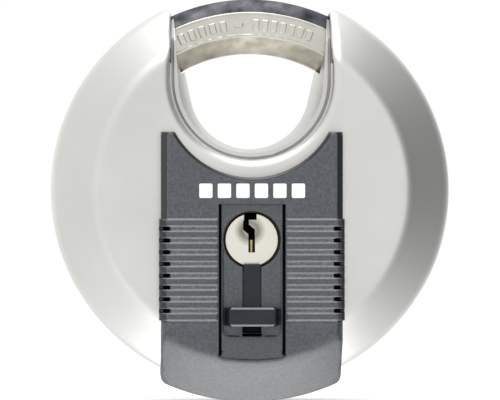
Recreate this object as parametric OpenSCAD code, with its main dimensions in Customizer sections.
// Disc padlock: two stainless shells round a die-cast core, a C-shaped shackle that turns
// inside the rim, a pin cylinder that drives it through two gears, and a plastic front cover.
// The lock is laid out on its back, x to the right, y up and z from the back to the front.
// stand() then turns it upright: its front faces -Y, its throat is at +Z, and the origin is
// on the disc's axis at the flat back.

/* [Disc body] */
// Radius of the disc over its rim
disc_r = 35; // [34.9:0.1:35.4]
// Thickness of the two shells together
body_t = 26; // [26:0.1:26.4]
// Radius of the flat face inside the bevel
flat_r = 27.4; // [27:0.1:27.6]
// Depth of the bevel between the flat face and the rim
bevel_h = 8.5; // [8.2:0.1:8.6]
// Thickness of the shells' sheet
wall = 1.2; // [1:0.05:1.2]

/* [Throat] */
// Half width of the throat between the shells' rolled edges
throat_r = 13.9; // [13.8:0.05:14]
// Height of the throat's round centre above the disc's axis
throat_y = 19.1; // [19:0.1:19.3]
// Half width of the clear way through the collar
clear_r = 10.5; // [10:0.1:10.7]
// Height of the clear way's round centre
clear_y = 17.7; // [17.6:0.1:17.9]
// Angle at which the clear way widens towards the rim
flare = 12.5; // [11:0.5:13]

/* [Shackle] */
// Inner radius of the shackle's arc
shackle_in = 24; // [23.9:0.1:24.2]
// Thickness of the shackle, measured along the radius and front to back
shackle_t = 9.5; // [9.2:0.1:9.5]
// Angle of the shackle's toe when locked, counter-clockwise from +x
toe_a = 50; // [46:1:52]
// Length of the shackle's arc in degrees
shackle_arc = 190; // [184:1:194]
// Angle through which the shackle turns back to open
open_a = 75; // [75:1:76]

/* [Cylinder] */
// Height of the plug's axis, below the disc's axis
plug_y = -8.7; // [-8.8:0.05:-8.6]
// Radius of the plug
plug_r = 4.72; // [4.68:0.01:4.72]
// Number of pin chambers
pins = 4; // [3:1:4]
// Distance between pin chambers
pin_pitch = 3; // [2.8:0.1:3]
// Radius of the pins
pin_r = 1.12; // [1.1:0.01:1.12]
// Teeth on each of the two gears
teeth = 12; // [12:1:12]

/* [Front cover] */
// Half width of the cover at its base
cover_w = 15.75; // [15.5:0.05:15.8]
// Thickness of the cover in front of the flat face
cover_t = 3; // [3:0.05:3.2]
// Height of the tops of the cover's two ears
ear_y = 10; // [9:0.1:10.4]
// Radius of the cover's outside where it wraps the rim
wrap_r = 37.1; // [36.8:0.1:37.3]
// Number of grip ribs on each side
ribs = 9; // [5:1:9]
// Distance between grip ribs
rib_pitch = 2.03; // [1.9:0.01:2.05]

/* [Keyway shutter] */
// Distance that the shutter slides up to cover the keyway
shutter_travel = 8.6; // [8:0.1:8.6]
// Half width of the shutter's thumb knob
knob_w = 5.05; // [4.6:0.05:5.05]

/* [Hidden] */
$fn = 72;

steel = "gainsboro";
dark_steel = "darkgray";
zinc = "silver";
brass = "darkgoldenrod";
plastic = "dimgray";

fit = 0.05;
gap = 0.3;
far = 60;

// Disc section
mid = body_t / 2;
rim_z = body_t - bevel_h;
bevel_w = disc_r - flat_r;
bevel_slope = bevel_h / bevel_w;
bevel_cos = bevel_w / norm([bevel_w, bevel_h]);
function bevel_z(r, inset) = rim_z + (disc_r - r) * bevel_slope - inset / bevel_cos;
function bevel_r(z, inset) = disc_r - (z - rim_z + inset / bevel_cos) / bevel_slope;

// Throat: the shells' flange ends at flange_z, and the collar fills the way between the flanges
flange_z = body_t - 4.5;
collar_r = throat_r - 0.5;
collar_lip = 0.7;
collar_front = flange_z + 0.6;
bulge_r = 16;
mouth_top = 31;

// Shackle and its channel
shackle_out = shackle_in + shackle_t;
shackle_mid = shackle_in + shackle_t / 2;
outer_cut = 2.4;
inner_cut = 2.9;
dowel_angles = [165, 195];
dowel_r = 1.5;
dowel_z = 14;
dowel_fit = 0.01;

// Rotor behind the shackle, and the two gears
plate_z = 6;
plate_top = mid - shackle_t / 2 - 0.1;
arm_from = 155;
arm_to = 205;
arm_r = shackle_mid + 2.05;
hub_r = 2.2;
hub_flat = 1.7;
boss_r = 4;
window_at = 14.5;
axle_r = 1.2;
axle_z = 2;
axle_top = 12.6;
axle_head_r = 2.4;
axle_head_t = 1.2;
axle_neck_r = 0.85;
clip_z = 11.4;
clip_t = 0.6;
clip_r = 2.1;
gear_z = 8.3;
gear_top = 11.1;
gear_module = -2 * plug_y / (2 * teeth);
gear_pitch_r = gear_module * teeth / 2;
gear_tip_r = gear_pitch_r + 0.65;
gear_root_r = gear_pitch_r - 1;
gear_base_r = gear_pitch_r * cos(20);
backlash_a = 1.2;

// Cylinder
housing_z = 11.4;
housing_top = body_t - wall - 0.2;
nose_z = body_t - 0.4;
housing_r = 6.3;
nose_r = 5.9;
block_w = 3;
block_y = -22.3;
wing_w = 6.8;
wing_low = -20.3;
wing_high = -16.7;
wing_top = 14.6;
bore_r = plug_r + fit;
chamber_r = 1.2;
shear_y = plug_y - plug_r;
plug_face = body_t + 0.45;
plug_back = 12;
tail_r = 2.2;
tail_z = 9.6;
tail_hole_r = 0.82;
dish_at = [-0.3, 1.6];
dish_depth = 0.45;
first_pin_z = 23.3;
pin_tips = [0.5, -0.4, 0.2, -0.8];
pin_foot = -4.55;
pin_cone = 0.56;
pin_point_r = 0.45;
driver_len = 2.5;
cap_t = 1;
spring_r = 0.82;
wire_r = 0.16;
spring_turns = 6;
steps_per_turn = 14;

// Screws: places as [x, y], radii of shank and head, and depths of head face, shoulder and tip
core_screw_at = [[18, 8], [18, -9], [8.8, -18.4], [-17.5, 13.5]];
core_screw_r = [1.25, 2.1];
core_screw_z = [1.45, 3.2, 17.5];
cover_screw_at = [[-11.5, -2], [11.5, -2], [-9.5, -20], [9.5, -20]];
cover_screw_r = [0.95, 1.9];
cover_screw_z = [23.3, body_t - wall - fit, body_t + 1.9];
housing_screw_at = [[-5, -18.5], [5, -18.5]];
housing_screw_r = [1, 1.7];
housing_screw_z = [11.6, mid, 20];
pinion_screw_r = [0.8, 1.7];
pinion_screw_z = [gear_z, tail_z - 0.45, 12.3];
slot_t = 0.5;
thread_fit = 0.02;

// Front cover
cover_z = body_t + fit;
cover_front = body_t + cover_t;
crease_r = 29.7;
side_draft = 1;
side_z = body_t + 0.6;
wrap_drop = 9;
cut_r = 15.2;
cut_y = 17.3;
panel_w = 5.8;
panel_top = -2.5;
panel_z = cover_front - 0.8;
track_w = 5.15;
track_z = panel_z - 0.25;
track_end = -25.5;
hole_r = 5;
slot_w = 1.575;
slot_end = -25.3;
rib_w = 1.3;
rib_x = 6;
rib_out = 0.35;
rib_top = -5.1;
rib_proud = 0.15;
groove_depth = 0.8;
lip_r = 31.5;
lip_t = 1.5;

// Shutter
knob_slope = 1.15;
stem_w = 1.5;
stem_top = -12.9;
knob_low = -24.1;
knob_high = -20.5;
knob_z = track_z + 0.2;
knob_top = body_t + 5.2;
stem_z = plug_face + 0.25;
stem_t = 0.9;
foot_w = 3.6;
foot_low = -24.9;
foot_high = -22.9;

// ---- helpers ----
module stand() rotate([90, 0, 0]) children();
module slab(z0, z1) translate([0, 0, z0]) linear_extrude(z1 - z0) children();
module rod(at, z0, z1, r) translate([at[0], at[1], z0]) cylinder(r = r, h = z1 - z0);
module bar_rod(z, y0, y1, r) translate([0, y0, z]) rotate([-90, 0, 0]) cylinder(r = r, h = y1 - y0);
module backwards() translate([0, 0, body_t]) mirror([0, 0, 1]) children();
module rect(x0, x1, y0, y1) translate([x0, y0]) square([x1 - x0, y1 - y0]);
module sector(r0, r1, a0, a1, z0, z1)
    rotate([0, 0, a0]) rotate_extrude(angle = a1 - a0) rect(r0, r1, z0, z1);
function polar(r, a) = [r * cos(a), r * sin(a)];

// Outline of a throat: a round end with straight sides up to the rim
module u_shape(r) {
    translate([0, throat_y]) circle(r);
    rect(-r, r, throat_y, throat_y + disc_r);
}

// Half of the space inside the shells, in front of the middle, held off the sheet by inset
module half_disc(inset, z0) {
    r = disc_r - inset;
    top = body_t - inset;
    rotate_extrude()
        polygon([[0, z0], [r, z0], [r, bevel_z(r, inset)], [bevel_r(top, inset), top], [0, top]]);
}

// The ring-shaped way in which the shackle turns
module shackle_way()
    rotate_extrude()
        rect(shackle_in - gap, disc_r - wall + 0.01, mid - shackle_t / 2 - gap, mid + shackle_t / 2 + gap);

// ---- shells ----
module half_shell()
    difference() {
        half_disc(0, mid);
        difference() {
            half_disc(wall, mid - 1);
            slab(flange_z, far) u_shape(throat_r + wall);
        }
        slab(mid - 1, far) u_shape(throat_r);
    }

module front_shell()
    color(steel) stand() difference() {
        half_shell();
        rod([0, plug_y], mid, far, nose_r + fit);
        for (at = cover_screw_at) rod(at, mid, far, cover_screw_r[0] + 0.1);
    }

module rear_shell() color(steel) stand() backwards() half_shell();

// ---- throat collar ----
module bulge_side()
    difference() {
        rect(0, 18, -far, far);
        translate([clear_r + bulge_r, 0]) circle(bulge_r, $fn = 144);
    }

module clear_way()
    translate([0, clear_y, mid]) {
        rotate([0, 0, 180 + flare]) rotate_extrude(angle = 180 - 2 * flare) bulge_side();
        for (side = [0, 1])
            mirror([side, 0, 0]) rotate([0, 0, -flare]) rotate([-90, 0, 0]) linear_extrude(24) bulge_side();
        slab(-far, far) polygon([[-1, -1], [1, -1], [7, 24], [-7, 24]]);
    }

module collar_mouth() {
    mouth_r = collar_r - collar_lip;
    top_r = collar_r + 0.1;
    translate([0, throat_y]) circle(mouth_r);
    polygon([
        [-mouth_r, throat_y], [mouth_r, throat_y], [top_r, mouth_top],
        [top_r, far], [-top_r, far], [-top_r, mouth_top]
    ]);
}

module throat_collar()
    color(steel) stand() difference() {
        intersection() {
            slab(body_t - collar_front, collar_front) u_shape(collar_r);
            union() {
                half_disc(wall + fit, mid);
                backwards() half_disc(wall + fit, mid);
            }
        }
        intersection() {
            clear_way();
            slab(-1, body_t + 1) collar_mouth();
        }
        shackle_way();
    }

// ---- die-cast core ----
module half_core()
    difference() {
        half_disc(wall + fit, mid);
        slab(mid - 1, flange_z - fit) u_shape(collar_r + fit);
        slab(flange_z - fit, far) u_shape(throat_r + wall + fit);
        shackle_way();
    }

module front_core()
    color(zinc) stand() difference() {
        half_core();
        rod([0, plug_y], mid - 1, far, housing_r + fit);
        slab(mid - 1, housing_top + fit) rect(-block_w - fit, block_w + fit, block_y - fit, plug_y);
        slab(mid - 1, wing_top + fit) rect(-wing_w - 0.1, wing_w + 0.1, wing_low - 0.1, wing_high + 0.1);
        for (at = housing_screw_at)
            rod(at, mid - 1, housing_screw_z[2] + 0.2, housing_screw_r[0] + thread_fit);
        for (at = core_screw_at) rod(at, mid - 1, core_screw_z[2] + 0.5, core_screw_r[0] + thread_fit);
        for (at = cover_screw_at) rod(at, cover_screw_z[0] - 0.8, far, cover_screw_r[1] + 0.15);
    }

module rear_core()
    color(zinc) stand() difference() {
        backwards() half_core();
        sector(0, disc_r - wall + 0.01, arm_from - 3, arm_to + open_a + 3, plate_z - 0.2, plate_top + 0.2);
        rod([0, 0], plate_z - 0.2, plate_top + 0.2, boss_r + 0.4);
        rod([0, 0], plate_top, mid + 1, gear_tip_r + gap);
        rod([0, plug_y], plate_top, mid + 1, gear_tip_r + gap);
        rod([0, plug_y], housing_z - fit, mid + 1, housing_r + fit);
        slab(housing_z - fit, mid + 1) rect(-block_w - fit, block_w + fit, block_y - fit, plug_y);
        rod([0, 0], 0, mid, axle_r + 0.02);
        rod([0, 0], 0, axle_z + axle_head_t + 0.1, axle_head_r + 0.1);
        for (at = housing_screw_at) rod(at, housing_screw_z[0] - 0.2, mid + 1, housing_screw_r[1] + 0.2);
        for (at = core_screw_at) {
            rod(at, 0, mid + 1, core_screw_r[0] + fit);
            rod(at, 0, core_screw_z[1], core_screw_r[1] + 0.1);
        }
    }

// A screw along z: radii of shank and head, and depths of head face, shoulder and tip
module screw(at, radii, depths)
    difference() {
        union() {
            rod(at, depths[0], depths[1], radii[1]);
            rod(at, depths[1], depths[2], radii[0]);
        }
        translate([at[0], at[1], depths[0]])
            for (turn = [0, 90]) rotate([0, 0, turn]) cube([1.4 * radii[1], slot_t, 1], center = true);
    }

module core_screws() color(dark_steel) stand() for (at = core_screw_at) screw(at, core_screw_r, core_screw_z);

// ---- shackle and rotor ----
module shackle_section() {
    near = mid - shackle_t / 2;
    front = mid + shackle_t / 2;
    polygon([
        [shackle_in, near + inner_cut], [shackle_in + inner_cut, near],
        [shackle_out - outer_cut, near], [shackle_out, near + outer_cut],
        [shackle_out, front - outer_cut], [shackle_out - outer_cut, front],
        [shackle_in + inner_cut, front], [shackle_in, front - inner_cut]
    ]);
}

module shackle()
    color(dark_steel) stand() difference() {
        rotate([0, 0, toe_a]) rotate_extrude(angle = shackle_arc) shackle_section();
        for (a = dowel_angles) rod(polar(shackle_mid, a), plate_top, dowel_z + 0.2, dowel_r + dowel_fit);
    }

module rotor_plate()
    color(zinc) stand() difference() {
        union() {
            sector(0, arm_r, arm_from, arm_to, plate_z, plate_top);
            rod([0, 0], plate_z, plate_top, boss_r);
            slab(plate_top - 1, gear_top) intersection() {
                circle(hub_r);
                rect(-hub_r, hub_flat, -hub_r, hub_r);
            }
        }
        rod([0, 0], 0, mid, axle_r + fit);
        rod(polar(window_at, 180), 0, mid, boss_r);
        for (a = dowel_angles) rod(polar(shackle_mid, a), 0, mid, dowel_r + dowel_fit);
    }

module rotor_dowels()
    color(dark_steel) stand() for (a = dowel_angles) rod(polar(shackle_mid, a), plate_z, dowel_z, dowel_r);

// Involute gear outline, with a tooth centred on the angle `start`
function involute(r) = tan(acos(gear_base_r / r)) * 180 / PI - acos(gear_base_r / r);
function flank_a(r) = 90 / teeth - backlash_a / 2 + involute(gear_pitch_r) - involute(max(r, gear_base_r));
module gear(start) {
    rise = [gear_root_r, for (i = [0:4]) gear_base_r + (gear_tip_r - gear_base_r) * i / 4];
    points = len(rise);
    polygon([
        for (t = [0:teeth - 1], i = [0:2 * points - 1])
            let (up = i < points, r = up ? rise[i] : rise[2 * points - 1 - i])
                polar(r, start + 360 / teeth * t + (up ? -1 : 1) * flank_a(r))
    ]);
}

module rotor_gear()
    color(brass) stand() slab(gear_z, gear_top) difference() {
        gear(-90);
        intersection() {
            circle(hub_r + 0.03);
            rect(-far, hub_flat + 0.03, -far, far);
        }
    }

module rotor_axle()
    color(dark_steel) stand() difference() {
        union() {
            rod([0, 0], axle_z, axle_z + axle_head_t, axle_head_r);
            rod([0, 0], axle_z, axle_top, axle_r);
        }
        difference() {
            rod([0, 0], clip_z, clip_z + clip_t, clip_r + 1);
            rod([0, 0], clip_z, clip_z + clip_t, axle_neck_r);
        }
    }

module axle_clip()
    color(dark_steel) stand() slab(clip_z + fit, clip_z + clip_t - fit) difference() {
        circle(clip_r);
        circle(axle_neck_r + fit);
        rect(-axle_neck_r + 0.1, axle_neck_r - 0.1, 0, clip_r + 1);
    }

// ---- cylinder ----
module cylinder_housing()
    color(brass) stand() difference() {
        union() {
            rod([0, plug_y], housing_z, housing_top, housing_r);
            rod([0, plug_y], housing_top - 1, nose_z, nose_r);
            slab(housing_z, housing_top) rect(-block_w, block_w, block_y, plug_y);
            slab(mid + fit, wing_top) rect(-wing_w, wing_w, wing_low, wing_high);
        }
        rod([0, plug_y], 0, far, bore_r);
        for (i = [0:pins - 1]) bar_rod(pin_z(i), block_y - 1, plug_y, chamber_r);
        slab(housing_z - 1, housing_top + 1) rect(-1.8, 1.8, block_y - 1, block_y + cap_t);
        for (at = housing_screw_at) rod(at, mid - 1, wing_top + 1, housing_screw_r[0] + 0.1);
    }

function pin_z(i) = first_pin_z - pin_pitch * i;

module chamber_cap()
    color(brass) stand()
        slab(housing_z + 0.2, housing_top - 0.2) rect(-1.78, 1.78, block_y, block_y + cap_t - 0.02);

module housing_screws()
    color(dark_steel) stand() for (at = housing_screw_at) screw(at, housing_screw_r, housing_screw_z);

module keyway()
    polygon([
        [-1.34, 5.5], [0.86, 5.5], [0.86, 3.45], [-0.48, 3.45], [-0.48, 2.65], [0.57, 1.8],
        [0.57, -2.2], [-0.57, -2.2], [-0.57, 0.96], [-1.5, 1.75], [-1.5, 3.2], [-1.34, 3.4]
    ]);

module plug()
    color("linen") stand() difference() {
        translate([0, plug_y, 0]) difference() {
            union() {
                rod([0, 0], plug_back, plug_face, plug_r);
                slab(tail_z, plug_back + 1) intersection() {
                    circle(tail_r);
                    rect(-tail_r, hub_flat, -tail_r, tail_r);
                }
            }
            slab(plug_back + 0.6, far) keyway();
            translate([dish_at[0], dish_at[1], plug_face - dish_depth])
                cylinder(r1 = 0.6, r2 = 2.7, h = dish_depth + fit);
            rod([0, 0], tail_z - 1, pinion_screw_z[2] + 0.3, tail_hole_r);
        }
        for (i = [0:pins - 1]) bar_rod(pin_z(i), shear_y - 1, plug_y + 2, chamber_r);
    }

module plug_pinion()
    color(brass) stand() translate([0, plug_y, 0]) difference() {
        slab(gear_z, gear_top) gear(90 + 180 / teeth);
        slab(tail_z - fit, gear_top + 1) intersection() {
            circle(tail_r + 0.03);
            rect(-far, hub_flat + 0.03, -far, far);
        }
        rod([0, 0], 0, pinion_screw_z[1] + fit, pinion_screw_r[1] + 0.1);
        rod([0, 0], 0, tail_z, pinion_screw_r[0] + 0.2);
    }

module pinion_screw() color(dark_steel) stand() screw([0, plug_y], pinion_screw_r, pinion_screw_z);

// Key pins stand in the plug with their tips in the keyway, driver pins below the shear line
module key_pin(i)
    color(brass) stand() translate([0, plug_y, 0]) {
        tip = pin_tips[i];
        bar_rod(pin_z(i), pin_foot, tip - pin_cone + 0.01, pin_r);
        translate([0, tip - pin_cone, pin_z(i)]) rotate([-90, 0, 0])
            cylinder(r1 = pin_r, r2 = pin_point_r, h = pin_cone);
    }

module driver_pin(i)
    color("silver") stand() bar_rod(pin_z(i), shear_y - fit - driver_len, shear_y - fit, pin_r);

// Coil of round wire: six-sided rings swept up a helix along y
module pin_spring(i) {
    low = block_y + cap_t + wire_r + 0.01;
    high = shear_y - fit - driver_len - wire_r - 0.01;
    steps = spring_turns * steps_per_turn;
    points = [
        for (s = [0:steps], k = [0:5])
            let (a = 360 * s / steps_per_turn, r = spring_r + wire_r * cos(60 * k))
                [r * cos(a), low + (high - low) * s / steps + wire_r * sin(60 * k), pin_z(i) - r * sin(a)]
    ];
    faces = [
        [for (k = [0:5]) k],
        [for (k = [5:-1:0]) 6 * steps + k],
        for (s = [0:steps - 1], k = [0:5])
            [6 * s + k, 6 * s + 6 + k, 6 * s + 6 + (k + 1) % 6, 6 * s + (k + 1) % 6]
    ];
    color("lightsteelblue") stand() polyhedron(points, faces);
}

// ---- front cover and shutter ----
module cover_body()
    intersection() {
        rotate_extrude()
            polygon([
                [0, cover_z], [flat_r, cover_z], [disc_r + fit, rim_z + fit], [disc_r + fit, bevel_h - fit],
                [lip_r, body_t - bevel_z(lip_r, -fit)], [lip_r + 1, body_t - bevel_z(lip_r + 1, -lip_t)],
                [wrap_r, body_t - bevel_z(wrap_r, -lip_t)], [wrap_r, cover_front - wrap_drop],
                [crease_r, cover_front], [0, cover_front]
            ]);
        rotate([90, 0, 0]) translate([0, 0, -ear_y]) linear_extrude(ear_y + far)
            polygon([
                [-cover_w, -1], [cover_w, -1], [cover_w, side_z], [cover_w - side_draft, cover_front],
                [-cover_w + side_draft, cover_front], [-cover_w, side_z]
            ]);
    }

function rib_y(i) = rib_top - rib_pitch * i - rib_w;

module rib_zone(side)
    mirror([side, 0, 0]) for (i = [0:ribs]) {
        top = rib_y(i) + rib_pitch;
        slab(cover_front - groove_depth, far) rect(rib_x, cover_w + 1, top - rib_pitch + rib_w, top);
    }

module grip_ribs(side)
    mirror([side, 0, 0]) for (i = [0:ribs - 1])
        slab(cover_z, cover_front + rib_proud) rect(rib_x, cover_w + rib_out, rib_y(i), rib_y(i) + rib_w);

module front_cover()
    color(plastic) stand() difference() {
        union() {
            difference() {
                cover_body();
                for (side = [0, 1]) rib_zone(side);
            }
            for (side = [0, 1]) grip_ribs(side);
        }
        slab(0, far) translate([0, cut_y]) circle(cut_r);
        translate([0, cut_y, cover_front - 0.4]) cylinder(r1 = cut_r - 0.01, r2 = cut_r + 0.5, h = 0.5);
        slab(panel_z, far) intersection() {
            rect(-panel_w, panel_w, -far, panel_top);
            circle(crease_r);
        }
        slab(track_z, far) rect(-track_w, track_w, track_end, plug_y);
        rod([0, plug_y], 0, far, hole_r);
        slab(0, far) rect(-slot_w, slot_w, slot_end, plug_y);
        slab(0, stem_z - fit)
            rect(-foot_w - 0.15, foot_w + 0.15, foot_low - 0.2, foot_high + shutter_travel + 0.2);
        for (at = cover_screw_at) rod(at, 0, body_t + 2, cover_screw_r[0] + thread_fit);
    }

module cover_screws()
    color(dark_steel) stand() for (at = cover_screw_at) screw(at, cover_screw_r, cover_screw_z);

module key_shutter()
    color("slategray") stand() {
        slab(stem_z, stem_z + stem_t) rect(-stem_w, stem_w, foot_low + 1, stem_top);
        slab(stem_z - 0.01, knob_z + 0.5) rect(-stem_w, stem_w, knob_low, knob_high);
        slab(body_t + 0.15, stem_z - 0.15) rect(-foot_w, foot_w, foot_low, foot_high);
        slab(body_t + 0.16, stem_z + 0.2) rect(-stem_w, stem_w, foot_low + 0.2, foot_high);
        knob();
    }

// Thumb knob with sloping ends
module knob()
    translate([0, knob_high, 0]) rotate([90, 0, 0]) linear_extrude(knob_high - knob_low)
        polygon([
            [-knob_w, knob_z], [knob_w, knob_z],
            [knob_w - knob_slope, knob_top], [-knob_w + knob_slope, knob_top]
        ]);

front_shell();
rear_shell();
throat_collar();
front_core();
rear_core();
core_screws();
shackle();
rotor_plate();
rotor_dowels();
rotor_gear();
rotor_axle();
axle_clip();
cylinder_housing();
housing_screws();
chamber_cap();
plug();
plug_pinion();
pinion_screw();
key_pin(0);  // key_pin_1
key_pin(1);  // key_pin_2
key_pin(2);  // key_pin_3
key_pin(3);  // key_pin_4
driver_pin(0);  // driver_pin_1
driver_pin(1);  // driver_pin_2
driver_pin(2);  // driver_pin_3
driver_pin(3);  // driver_pin_4
pin_spring(0);  // pin_spring_1
pin_spring(1);  // pin_spring_2
pin_spring(2);  // pin_spring_3
pin_spring(3);  // pin_spring_4
front_cover();
cover_screws();
key_shutter();
